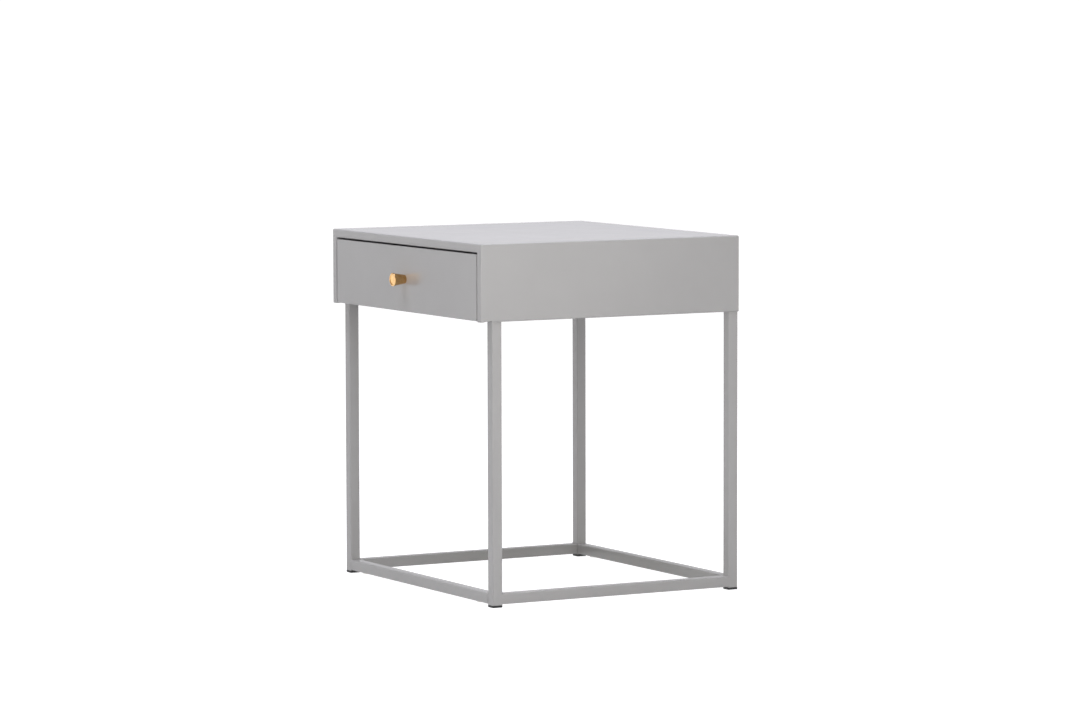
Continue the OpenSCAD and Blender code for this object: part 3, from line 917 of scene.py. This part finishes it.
@dataclass
class TubeFrame:
    """The welded and screwed square-tube frame, its feet and its fasteners."""

    wall: float = 1.5 * MM
    corner: float = 1.5 * MM
    rim: float = 0.2 * MM
    # The fillet welds' leg, and the rounding of their edges as a share of it
    weld_leg: float = 1.6 * MM
    weld_round: float = 0.2
    # The end cap's sole: its height, and the rounding of its corners and its lower edge
    sole: float = 3.2 * MM
    sole_corner: float = 1.7 * MM
    sole_edge: float = 0.6 * MM
    # The end cap's plug: its play in the tube, and the height, places and rounding of its ribs
    plug_play: float = 0.35 * MM
    rib: float = 1.2 * MM
    rib_depth: float = 0.8 * MM
    rib_edge: float = 0.3 * MM
    rib_places: Sequence[float] = tuple((1.5 + i * 11 / 3) * MM for i in range(3))
    # The domed screws under the cross rails
    head_d: float = 11.0 * MM
    head_h: float = 2.0 * MM
    shank_d: float = 5.0 * MM

    def build(self) -> None:
        """Make every piece of the frame."""
        for end in ("front", "back"):
            for side in ("left", "right"):
                self.tube(f"leg_{end}_{side}", 2)
                self.foot(f"foot_{end}_{side}")
            self.tube(f"cross_rail_{end}", 0)
        for side in ("left", "right"):
            self.tube(f"side_rail_{side}", 1, self.corner)
            self.weld(side)
        self.rail_screws()
        for node in ("rail_stubs", "leg_nut_plugs", "leg_bolts", "leg_washers"):
            dress(node, ZINC)

    def tube(self, node: str, along: int, reach: float = 0.0) -> None:
        """One length of square tube.

        Args:
            node: The CAD node it stands for.
            along: The axis it runs along, 0 to 2.
            reach: How far both ends run on, where they are welded into a leg's rounded corner.
        """
        lo, hi = (corner.copy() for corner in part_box(node))
        lo[along] -= reach
        hi[along] += reach
        one, two = [axis for axis in range(3) if axis != along]
        outline = []
        for a, b in ((0, 0), (1, 0), (1, 1), (0, 1)):
            point = lo.copy()
            point[one] = (lo, hi)[a][one]
            point[two] = (lo, hi)[b][two]
            outline.append(point)
        run = Vector((0, 0, 0))
        run[along] = hi[along] - lo[along]
        bm = bent_sheet(outline, run, (0, 0, 0), self.corner, closed=True)
        middle = (lo + hi) / 2
        face = next(iter(bm.faces))
        if face.normal.dot(face.calc_center_median() - middle) < 0:
            bmesh.ops.reverse_faces(bm, faces=bm.faces[:])
        Piece(f"{node}_tube", bm, "case", POWDER, Slot.POWDER, [node], self.wall, self.rim).make()

    def weld(self, side: str) -> None:
        """Small fillet welds inside both ends of a side rail.

        Args:
            side: "left" or "right".
        """
        lo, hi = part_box(f"side_rail_{side}")
        size = self.weld_leg
        beads = []
        for y, way in ((lo.y, 1), (hi.y, -1)):
            foot = Vector((lo.x + self.corner, y, hi.z))
            outline = [foot, foot + Vector((0, 0, size)), foot + Vector((0, way * size, 0))]
            bm = bent_sheet(outline, Vector((hi.x - lo.x - 2 * self.corner, 0, 0)), (0, 0, 1),
                            size * self.weld_round, closed=True, segments=2)
            ends = [e for e in bm.edges if e.is_boundary]
            bmesh.ops.holes_fill(bm, edges=ends, sides=0)
            bmesh.ops.recalc_face_normals(bm, faces=bm.faces[:])
            lengthwise = [e for e in bm.edges if abs(e.verts[0].co.x - e.verts[1].co.x) > size]
            bmesh.ops.subdivide_edges(bm, edges=lengthwise, cuts=7)
            beads.append(bm)
        Piece(f"side_rail_{side}_welds", join(beads), "case", POWDER, Slot.POWDER).make()

    def foot(self, node: str) -> None:
        """Plastic end cap: a rounded sole and a ribbed plug.

        Args:
            node: The CAD node it stands for.
        """
        lo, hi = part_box(node)
        sole = block(lo, Vector((hi.x, hi.y, lo.z + self.sole)))
        sole.normal_update()
        upright = [e for e in sole.edges if abs(e.verts[0].co.z - e.verts[1].co.z) > self.sole / 2]
        round_edges(sole, upright, self.sole_corner, 4)
        sole.normal_update()
        under = [e for e in folds(sole) if all(v.co.z < lo.z + NEAR for v in e.verts)]
        round_edges(sole, under, self.sole_edge, 3)
        inner = self.wall + self.plug_play
        middle = Vector(((lo.x + hi.x) / 2, (lo.y + hi.y) / 2, 0))
        half = (hi.x - lo.x) / 2 - inner
        core_half = half - self.rib_depth
        core = block(Vector((middle.x - core_half, middle.y - core_half, lo.z + self.sole * 0.9)),
                     Vector((middle.x + core_half, middle.y + core_half, hi.z)))
        parts = [sole, core]
        for place in self.rib_places:
            z = lo.z + self.sole + place
            rib = block(Vector((middle.x - half, middle.y - half, z)),
                        Vector((middle.x + half, middle.y + half, z + self.rib)))
            round_edges(rib, rib.edges[:], self.rib_edge, 2)
            parts.append(rib)
        Piece(f"{node}_cap", join(parts), "case", FOOT_PLASTIC, Slot.FOOT, [node], rim=0.15 * MM).make()

    def rail_screws(self) -> None:
        """Domed screws under the cross rails."""
        lo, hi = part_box("rail_screws")
        half = self.head_d / 2
        screw = Fastener(self.head_d, self.head_h, self.shank_d, hi.z - lo.z - self.head_h,
                         Drive.HEX_SOCKET, 48)
        seat_z = lo.z + self.head_h
        places = mirrored([Vector((hi.x - half, y, seat_z)) for y in (lo.y + half, hi.y - half)])
        parts = [screw.build(place, (0, 0, -1)) for place in places]
        Piece("rail_screws_domed", join(parts), "case", NICKEL, Slot.NICKEL, ["rail_screws"]).make()


# ------------------------------------------------------------------ slides


@dataclass
class Slides:
    """Two telescopic ball slides, their brackets, cages, balls and screws."""

    member: float = 1.2 * MM
    bend: float = 1.6 * MM
    curl: float = 1.4 * MM
    # The hat-section bracket: its flanges, its sheet and its bends
    flange: float = 8.0 * MM
    bracket_sheet: float = 1.2 * MM
    bracket_bend: float = 1.8 * MM
    # The screws that hold the inner members reach through a member and a drawer side
    screw_length: float = 4.2 * MM
    rim: float = 0.15 * MM

    def build(self) -> None:
        """Make every piece of both slides."""
        for side, sign in (("left", -1), ("right", 1)):
            self.bracket(side, sign)
            self.channel(f"slide_outer_{side}", "case", sign, -sign)
            self.channel(f"slide_middle_{side}", f"middle_{side}", sign, -sign)
            self.channel(f"slide_inner_{side}", "drawer", -sign, sign)
            for layer in ("outer", "inner"):
                dress(f"cage_{layer}_{side}", ZINC)
                dress(f"balls_{layer}_{side}", BALL_STEEL)
        dress("slide_case_screws", ZINC)
        self.drawer_screws()

    def channel(self, node: str, body: str, web_side: int, lip_side: int) -> None:
        """One slide member: a web with two lips, which the outer member curls round the balls.

        Args:
            node: The CAD node it stands for.
            body: The body that it rides on.
            web_side: Sign of X on the side of the node's box where the web is.
            lip_side: Sign of X towards the lips' ends.
        """
        lo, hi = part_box(node)
        web = hi.x if web_side > 0 else lo.x
        lip = hi.x if lip_side > 0 else lo.x
        outline = [(lip, lo.z), (web, lo.z), (web, hi.z), (lip, hi.z)]
        if "outer" in node:
            rise = self.member + self.curl
            outline = [(lip, lo.z + rise), *outline, (lip, hi.z - rise)]
        bm = bent_sheet([Vector((x, lo.y, z)) for x, z in outline], Vector((0, hi.y - lo.y, 0)),
                        (web_side, 0, 0), self.bend)
        Piece(f"{node}_rolled", bm, body, GALVANISED, Slot.ZINC, [node], self.member, self.rim).make()

    def bracket(self, side: str, sign: int) -> None:
        """Hat-section bracket between a slide and the case's side.

        Args:
            side: "left" or "right".
            sign: Sign of X on that side.
        """
        node = f"slide_bracket_{side}"
        lo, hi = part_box(node)
        edge = self.flange
        wall = hi.x if sign > 0 else lo.x
        face = lo.x if sign > 0 else hi.x
        flat = wall - sign * self.bracket_sheet
        outline = [(flat, lo.z), (flat, lo.z + edge), (face, lo.z + edge), (face, hi.z - edge),
                   (flat, hi.z - edge), (flat, hi.z)]
        bm = bent_sheet([Vector((x, lo.y, z)) for x, z in outline], Vector((0, hi.y - lo.y, 0)),
                        (-sign, 0, 0), self.bracket_bend)
        Piece(f"{node}_folded", bm, "case", ZINC, Slot.ZINC, [node], self.bracket_sheet,
              self.rim).make()

    def drawer_screws(self) -> None:
        """Pan-headed screws that hold the inner members to the drawer."""
        lo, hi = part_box("slide_drawer_screws")
        screw = PanScrew(length=self.screw_length)
        half = screw.head_d / 2
        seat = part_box("slide_inner_right")[0].x + self.member
        parts = []
        for y in (lo.y + half, hi.y - half):
            z = (lo.z + hi.z) / 2
            parts.append(screw.build(Vector((seat, y, z)), (1, 0, 0)))
            parts.append(screw.build(Vector((-seat, y, z)), (-1, 0, 0)))
        Piece("slide_drawer_screws_pan", join(parts), "drawer", ZINC, Slot.ZINC,
              ["slide_drawer_screws"]).make()


# ------------------------------------------------------------------ drawer


@dataclass
class Drawer:
    """The drawer: folded front, box walls, bottom, rivets and screws."""

    sheet: float = 1.0 * MM
    front_bend: float = 1.2 * MM
    box_bend: float = 1.4 * MM
    # Width of the flanges round the opening at the front pan's back: at the ends, and along it
    end_flange: float = 45.0 * MM
    long_flange: float = 10.0 * MM
    # The sides' fold under the bottom sheet, and their hem at the top
    side_fold: float = 10.0 * MM
    side_hem: float = 6.0 * MM
    rim: float = 0.2 * MM

    def build(self) -> None:
        """Make every piece of the drawer."""
        self.front()
        for side, sign in (("left", -1), ("right", 1)):
            self.side(side, sign)
        self.wall("drawer_front_wall", 1)
        self.wall("drawer_back_wall", -1)
        self.bottom()
        self.rivets()
        self.front_screws()

    def front(self) -> None:
        """Folded pan, closed in front and flanged behind."""
        lo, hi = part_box("drawer_front")
        wall_lo, wall_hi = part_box("drawer_front_wall")
        open_x = wall_hi.x - self.end_flange
        open_lo, open_hi = wall_lo.z + self.long_flange, wall_hi.z - self.long_flange
        bm = block(lo, hi)
        bm.normal_update()
        for x in (-open_x, open_x):
            cut(bm, (x, 0, 0), (1, 0, 0), (0, 1, 0))
        for z in (open_lo, open_hi):
            cut(bm, (0, 0, z), (0, 0, 1), (0, 1, 0))

        def is_open(face: bmesh.types.BMFace) -> bool:
            """Whether a face lies in the opening at the pan's back.

            Args:
                face: A face of the block.

            Returns:
                True in the opening.
            """
            at = face.calc_center_median()
            return face.normal.y > 0.9 and abs(at.x) < open_x and open_lo < at.z < open_hi

        drop_faces(bm, is_open)
        round_edges(bm, folds(bm), self.front_bend, 4)
        Piece("drawer_front_folded", bm, "drawer", POWDER, Slot.POWDER, ["drawer_front"], self.sheet,
              self.rim).make()

    def side(self, side: str, sign: int) -> None:
        """Drawer side, folded in at the bottom and hemmed at the top.

        Args:
            side: "left" or "right".
            sign: Sign of X on that side.
        """
        node = f"drawer_side_{side}"
        lo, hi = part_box(node)
        web = hi.x if sign > 0 else lo.x
        fold = web - sign * self.side_fold
        hem = web - sign * self.side_hem
        outline = [(fold, lo.z), (web, lo.z), (web, hi.z), (hem, hi.z)]
        bm = bent_sheet([Vector((x, lo.y, z)) for x, z in outline], Vector((0, hi.y - lo.y, 0)),
                        (sign, 0, 0), self.box_bend)
        Piece(f"{node}_folded", bm, "drawer", POWDER, Slot.POWDER, [node], self.sheet, self.rim).make()

    def wall(self, node: str, way: int) -> None:
        """Front or back wall of the box, with a tab folded at each end.

        Args:
            node: The CAD node it stands for.
            way: Sign of Y towards which the tabs are folded.
        """
        lo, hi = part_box(node)
        face, tabs = (lo.y, hi.y) if way > 0 else (hi.y, lo.y)
        outline = [(lo.x, tabs), (lo.x, face), (hi.x, face), (hi.x, tabs)]
        bm = bent_sheet([Vector((x, y, lo.z)) for x, y in outline], Vector((0, 0, hi.z - lo.z)),
                        (0, -way, 0), self.box_bend)
        Piece(f"{node}_folded", bm, "drawer", POWDER, Slot.POWDER, [node], self.sheet, self.rim).make()

    def bottom(self) -> None:
        """Flat bottom sheet, held between the folds of the sides."""
        Piece("drawer_bottom_sheet", block(*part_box("drawer_bottom")), "drawer", POWDER, Slot.POWDER,
              ["drawer_bottom"], rim=self.rim).make()

    def rivets(self) -> None:
        """Blind rivets at the corners of the box, their heads outside."""
        lo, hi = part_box("drawer_rivets")
        rivet = Rivet()
        half = rivet.head_d / 2
        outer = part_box("drawer_side_right")[1].x
        parts = []
        for y in (lo.y + half, hi.y - half):
            for z in (lo.z + half, hi.z - half):
                parts.append(rivet.build(Vector((outer, y, z)), (1, 0, 0), 2 * self.sheet))
                parts.append(rivet.build(Vector((-outer, y, z)), (-1, 0, 0), 2 * self.sheet))
        Piece("drawer_rivets_set", join(parts), "drawer", ZINC, Slot.ZINC, ["drawer_rivets"]).make()

    def front_screws(self) -> None:
        """Pan-headed screws through the box's front wall into the folded front, and the knob's."""
        lo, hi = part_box("drawer_front_screws")
        screw = PanScrew()
        half = screw.head_d / 2
        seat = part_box("drawer_front_wall")[0].y + self.sheet
        places = mirrored([Vector((hi.x - half, seat, z)) for z in (lo.z + half, hi.z - half)])
        parts = [screw.build(place, (0, 1, 0)) for place in places]
        Piece("drawer_front_screws_pan", join(parts), "drawer", ZINC, Slot.ZINC,
              ["drawer_front_screws"]).make()
        knob_lo, knob_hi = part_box("knob_screw")
        long_screw = PanScrew(length=knob_hi.y - knob_lo.y - screw.head_h)
        at = Vector((0, seat, (knob_lo.z + knob_hi.z) / 2))
        Piece("knob_screw_pan", long_screw.build(at, (0, 1, 0)), "drawer", ZINC, Slot.ZINC,
              ["knob_screw"]).make()


@dataclass
class Knob:
    """The turned knob: a cone that widens towards a dished face with a thin rim."""

    edge: float = 0.8 * MM
    rim: float = 0.9 * MM
    dish: float = 0.8 * MM
    base_d: float = 12.4 * MM
    base_edge: float = 0.1 * MM

    def build(self) -> None:
        """Make the knob."""
        lo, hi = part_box("knob")
        reach = hi.y - lo.y
        face, base = (hi.x - lo.x) / 2, self.base_d / 2
        lip = face - self.edge - self.rim
        profile = [(0.0, 0.0), (base - self.base_edge, 0.0), (base, self.base_edge),
                   *arc((face - self.edge, reach - self.edge), self.edge, 0, 90, 6),
                   (lip, reach),
                   *[(lip - self.dish * (1 - math.cos(math.radians(a))) - self.dish * 0.3,
                      reach - self.dish * math.sin(math.radians(a))) for a in (30, 60, 90)],
                   (0.0, reach - self.dish)]
        at = Vector(((lo.x + hi.x) / 2, hi.y, (lo.z + hi.z) / 2))
        bm = stood(spun(profile, 96), at, (0, -1, 0))
        Piece("knob_turned", bm, "drawer", BRASS, Slot.BRASS, ["knob"]).make()


# ------------------------------------------------------------------ studio


@dataclass(frozen=True)
class SoftBox:
    """A square soft light that looks at the middle of the table; angles in degrees, sizes in metres."""

    name: str
    azimuth: float
    elevation: float
    distance: float
    size: float
    watts: float
    colour: str = "#FFFFFF"


@dataclass
class Studio:
    """Paper floor and backdrop, soft light from the sides and above, and the camera."""

    azimuth: float = 60.93
    elevation: float = 4.82
    roll: float = -0.13
    distance: float = 6.659
    lens: float = 155.7
    aim_right: float = 9.54 * MM
    aim_height: float = 317.14 * MM
    floor_radius: float = 60.0
    # How far the lit sheet lies under the feet, and the floor as far again under the sheet
    sheet_drop: float = 0.2 * MM
    # Radius of the dome, as a share of the floor's
    dome: float = 0.98
    # Width of the film, and the near and far end of what the camera sees
    film_mm: float = 36.0
    clip: tuple[float, float] = (0.1, 200.0)
    # Height share of the sky at which the horizon's brightness ends, and the ceiling's starts
    horizon: float = 0.1
    ceiling: float = 0.9
    # The lights look at a point at this height over the middle of the floor
    light_aim: float = 0.25
    # Brightness of the white room at the horizon and overhead
    room_low: float = 0.68
    room_high: float = 0.0
    boxes: Sequence[SoftBox] = (
        SoftBox("top_box", 20, 82, 2.6, 2.4, 100, "#F0F1FF"),
        SoftBox("far_left_box", -60, 12, 2.6, 1.2, 2.2),
        SoftBox("left_box", -30, 8, 2.2, 1.0, 0.8),
        SoftBox("near_box", 66, 20, 1.0, 0.4, 2.0),
        SoftBox("right_box", 100, 20, 1.6, 1.0, 2.6),
        SoftBox("far_right_box", 130, 12, 3.0, 1.6, 2),
        SoftBox("back_box", 241, 12, 3.5, 2.4, 2.5, "#F4F5FF"),
    )

    def middle(self) -> Vector:
        """The middle of the case, on the floor."""
        lo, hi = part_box("case_shell")
        return Vector(((lo.x + hi.x) / 2, (lo.y + hi.y) / 2, 0))

    @staticmethod
    def toward(azimuth: float, elevation: float) -> Vector:
        """Unit vector from the table towards a place round it, both angles in degrees."""
        a, e = math.radians(azimuth), math.radians(elevation)
        return Vector((math.sin(a) * math.cos(e), -math.cos(a) * math.cos(e), math.sin(e)))

    def camera(self) -> None:
        """Stand the camera at the front right corner, a little above the table's middle."""
        back = self.toward(self.azimuth, self.elevation)
        turned = math.radians(self.azimuth)
        level = Vector((math.cos(turned), math.sin(turned), 0))
        plumb = back.cross(level)
        roll = math.radians(self.roll)
        right = level * math.cos(roll) + plumb * math.sin(roll)
        up = plumb * math.cos(roll) - level * math.sin(roll)
        aim = self.middle() + level * self.aim_right
        aim.z = self.aim_height
        data = bpy.data.cameras.new("camera")
        data.lens = self.lens
        data.sensor_width = self.film_mm
        data.clip_start, data.clip_end = self.clip
        camera = bpy.data.objects.new("camera", data)
        camera.matrix_world = Matrix.Translation(aim + back * self.distance) @ Matrix(
            (right, up, back)).transposed().to_4x4()
        bpy.context.scene.collection.objects.link(camera)
        bpy.context.scene.camera = camera

    def stage(self, name: str, bm: BMesh, finish: Finish, seen: bool, mirrors: bool) -> None:
        """Put up one sheet of paper.

        Args:
            name: The sheet's name.
            bm: Its shape, which is freed.
            finish: What it is made of.
            seen: True for a sheet that shows, False for one that throws light back.
            mirrors: Whether it shows in glossy surfaces.
        """
        mesh = bpy.data.meshes.new(name)
        bm.to_mesh(mesh)
        bm.free()
        sheet = bpy.data.objects.new(name, mesh)
        bpy.context.scene.collection.objects.link(sheet)
        mesh.materials.append(finish.material())
        sheet.visible_camera = seen
        sheet.visible_glossy = mirrors
        sheet.visible_diffuse = not seen
        sheet.visible_shadow = not seen

    def paper(self) -> None:
        """Floor that throws light back, the lit sheet on it that shows, and a dome behind."""
        for name, finish, seen, height in (("floor", PAPER, False, -2 * self.sheet_drop),
                                           ("floor_sheet", LIT_PAPER, True, -self.sheet_drop)):
            bm = bmesh.new()
            bmesh.ops.create_circle(bm, cap_ends=True, radius=self.floor_radius, segments=96)
            bmesh.ops.translate(bm, vec=(0, 0, height), verts=bm.verts[:])
            self.stage(name, bm, finish, seen, mirrors=seen)
        bm = bmesh.new()
        bmesh.ops.create_uvsphere(bm, u_segments=48, v_segments=24, radius=self.floor_radius * self.dome)
        self.stage("backdrop", bm, BACKDROP, seen=True, mirrors=False)

    def lights(self) -> None:
        """Hang the soft boxes, which light the table and don't show."""
        centre = self.middle() + Vector((0, 0, self.light_aim))
        for box in self.boxes:
            data = bpy.data.lights.new(box.name, "AREA")
            data.shape = "SQUARE"
            data.size = box.size
            data.energy = box.watts
            data.color = srgb(box.colour)[:3]
            lamp = bpy.data.objects.new(box.name, data)
            way = self.toward(box.azimuth, box.elevation)
            lamp.location = centre + way * box.distance
            lamp.rotation_mode = "QUATERNION"
            lamp.rotation_quaternion = way.to_track_quat("Z", "Y")
            lamp.visible_camera = False
            bpy.context.scene.collection.objects.link(lamp)

    def room_light(self) -> None:
        """Light from the room all round, from the horizon's brightness to the ceiling's."""
        world = bpy.data.worlds.new("studio")
        world.use_nodes = True
        tree = world.node_tree
        tree.nodes.clear()
        place = add_node(tree, "ShaderNodeTexCoord")
        parts = add_node(tree, "ShaderNodeSeparateXYZ", links={0: place.outputs["Generated"]})
        level = add_node(tree, "ShaderNodeMapRange",
                         {"interpolation_type": "SMOOTHSTEP", "in:From Min": self.horizon,
                          "in:From Max": self.ceiling,
                          "in:To Min": self.room_low, "in:To Max": self.room_high},
                         {"Value": parts.outputs["Z"]})
        sky = add_node(tree, "ShaderNodeBackground", {"in:Color": (1, 1, 1, 1)},
                       {"Strength": level.outputs["Result"]})
        add_node(tree, "ShaderNodeOutputWorld", links={"Surface": sky.outputs["Background"]})
        bpy.context.scene.world = world

    def build(self) -> None:
        """Set up the whole studio."""
        bpy.context.scene.view_settings.view_transform = "Standard"
        self.camera()
        self.paper()
        self.lights()
        self.room_light()


def main() -> None:
    """Build the table and the studio around the frame."""
    logging.basicConfig(level=logging.INFO, format="%(name)s: %(message)s")
    Studio().build()
    for assembly in (Case(), TubeFrame(), Slides(), Drawer(), Knob()):
        assembly.build()


if __name__ == "__main__":
    main()
